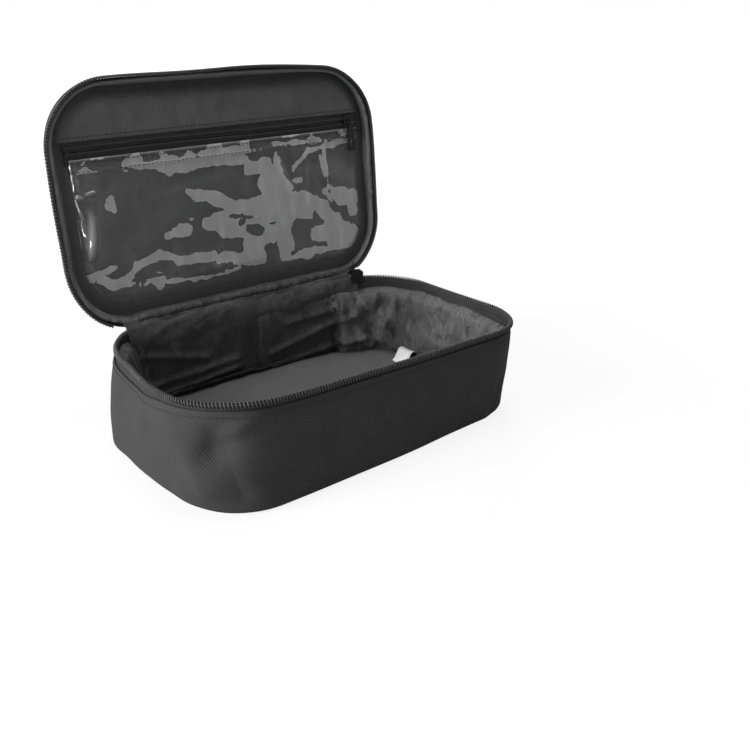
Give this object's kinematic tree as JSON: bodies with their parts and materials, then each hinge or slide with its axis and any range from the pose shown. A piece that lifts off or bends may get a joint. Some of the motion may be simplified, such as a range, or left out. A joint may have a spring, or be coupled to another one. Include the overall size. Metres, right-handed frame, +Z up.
{
  "type": "toiletry bag",
  "caption": "Soft rectangular zip-around toiletry bag, lid standing open, with a clear zipped pocket inside the lid, a zipped outside pocket and a webbing carry handle.",
  "frame": {"origin": "centre of the base face that the bag lies on", "axes": "+Z up from the base, +Y towards the spine that the lid hinges on, +X along the width"},
  "size_m": [0.26, 0.1994, 0.2258],
  "materials": {
    "outer_cloth": "matte woven polyester",
    "lining_cloth": "thin woven nylon, slightly shiny",
    "foam": "closed-cell foam sheet",
    "board": "flexible board",
    "zip_tape": "herringbone tape",
    "zip_coil": "moulded coil",
    "trim": "bias tape and piping",
    "clear_film": "clear flexible sheet",
    "slider_metal": "black enamel",
    "webbing": "ribbed webbing",
    "label_cloth": "white satin ribbon"
  },
  "bodies": {
    "body": {"side_wall": "outer_cloth", "spine_panel": "outer_cloth", "base_panel": "outer_cloth", "base_board": "board", "wall_padding": "foam", "wall_lining": "lining_cloth", "base_lining": "lining_cloth", "base_binding": "trim", "care_label": "label_cloth", "body_zip_tape": "zip_tape", "body_zip_coil": "zip_coil", "body_zip_stops": "zip_coil", "handle_tabs": "webbing"},
    "lid": {"spine_flap": "outer_cloth", "lid_zip_tape": "zip_tape", "lid_zip_coil": "zip_coil", "lid_piping": "trim", "lid_upper_panel": "outer_cloth", "lid_lower_panel": "outer_cloth", "pocket_end_tabs": "outer_cloth", "pocket_lining": "lining_cloth", "lid_foam": "foam", "lid_lining": "lining_cloth", "lid_binding": "trim", "inner_strip": "lining_cloth", "window_film": "clear_film", "film_hem": "clear_film", "pocket_zip_tape": "zip_tape", "pocket_zip_coil": "zip_coil", "pocket_zip_stops": "zip_coil", "inner_zip_tape": "zip_tape", "inner_zip_coil": "zip_coil", "inner_zip_stops": "zip_coil"},
    "handle": {"handle_strap": "webbing"},
    "main_slider": {"main_slider": "slider_metal"},
    "main_pull": {"main_pull": "slider_metal"},
    "pocket_slider": {"pocket_slider": "slider_metal"},
    "pocket_pull": {"pocket_pull": "slider_metal"},
    "inner_slider": {"inner_slider": "slider_metal"},
    "inner_pull": {"inner_pull": "slider_metal"}
  },
  "joints": [
    {"name": "lid_hinge", "type": "hinge", "parent": "body", "child": "lid", "pos_m": [0, 0.0795, 0.067], "axis": [1, 0, 0], "range_deg": [0, 97]},
    {"name": "handle_swing", "type": "hinge", "parent": "body", "child": "handle", "pos_m": [0, 0.0808, 0.034], "axis": [1, 0, 0], "range_deg": [-60, 30], "stiffness_Nm_per_rad": 0.03},
    {"name": "main_zip_corner", "type": "hinge", "parent": "body", "child": "main_slider", "pos_m": [0.085, 0.036, 0.067], "axis": [0, 0, -1], "range_deg": [0, 72.51]},
    {"name": "main_pull_swing", "type": "hinge", "parent": "main_slider", "child": "main_pull", "pos_m": [0.0993, 0.0814, 0.067], "axis": [0.9538, -0.3005, 0], "range_deg": [0, 70]},
    {"name": "pocket_zip_slide", "type": "slide", "parent": "lid", "child": "pocket_slider", "axis": [1, 0, 0], "range_m": [0, 0.2008]},
    {"name": "pocket_pull_swing", "type": "hinge", "parent": "pocket_slider", "child": "pocket_pull", "pos_m": [-0.1004, 0.11623, 0.18893], "axis": [1, 0, 0], "range_deg": [-7, 160]},
    {"name": "inner_zip_slide", "type": "slide", "parent": "lid", "child": "inner_slider", "axis": [-1, 0, 0], "range_m": [0, 0.2168]},
    {"name": "inner_pull_swing", "type": "hinge", "parent": "inner_slider", "child": "inner_pull", "pos_m": [0.1084, 0.09608, 0.18234], "axis": [-1, 0, 0], "range_deg": [0, 160]}
  ]
}
